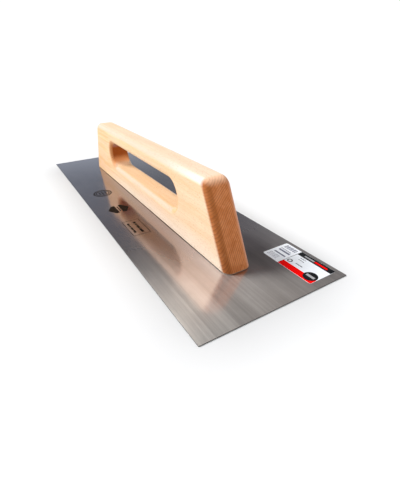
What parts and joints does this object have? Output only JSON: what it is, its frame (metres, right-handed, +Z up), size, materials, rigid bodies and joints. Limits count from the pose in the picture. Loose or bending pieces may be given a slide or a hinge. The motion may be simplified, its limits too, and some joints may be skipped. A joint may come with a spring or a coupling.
{
  "type": "finishing trowel",
  "caption": "Long rectangular steel finishing trowel with a closed upright wooden handle, held by hidden studs, and a two-part label at one end.",
  "frame": {"origin": "middle of the blade's working face, which is the underside", "axes": "+Z up, away from the working face. +X along the blade towards the end with the label. +Y across the blade towards the long edge beside the label."},
  "size_m": [0.5, 0.15, 0.077],
  "materials": {
    "blade_steel": "fine brushing along the blade's length, semi-bright",
    "beech": "pale steamed beech, sanded smooth and oiled, with darker end grain",
    "bed_elastic": "matt dark elastic adhesive",
    "fixing_steel": "bright zinc plate",
    "label_paper": "satin coated paper, printed"
  },
  "bodies": {
    "root": {"blade": "blade_steel", "handle": "beech", "seal_bed": "bed_elastic", "weld_stud_1": "fixing_steel", "weld_stud_2": "fixing_steel", "weld_stud_3": "fixing_steel", "weld_stud_4": "fixing_steel", "washer_1": "fixing_steel", "washer_2": "fixing_steel", "washer_3": "fixing_steel", "washer_4": "fixing_steel", "nut_1": "fixing_steel", "nut_2": "fixing_steel", "nut_3": "fixing_steel", "nut_4": "fixing_steel", "plug_1": "beech", "plug_2": "beech", "plug_3": "beech", "plug_4": "beech", "barcode_label": "label_paper", "product_label": "label_paper"}
  },
  "joints": []
}
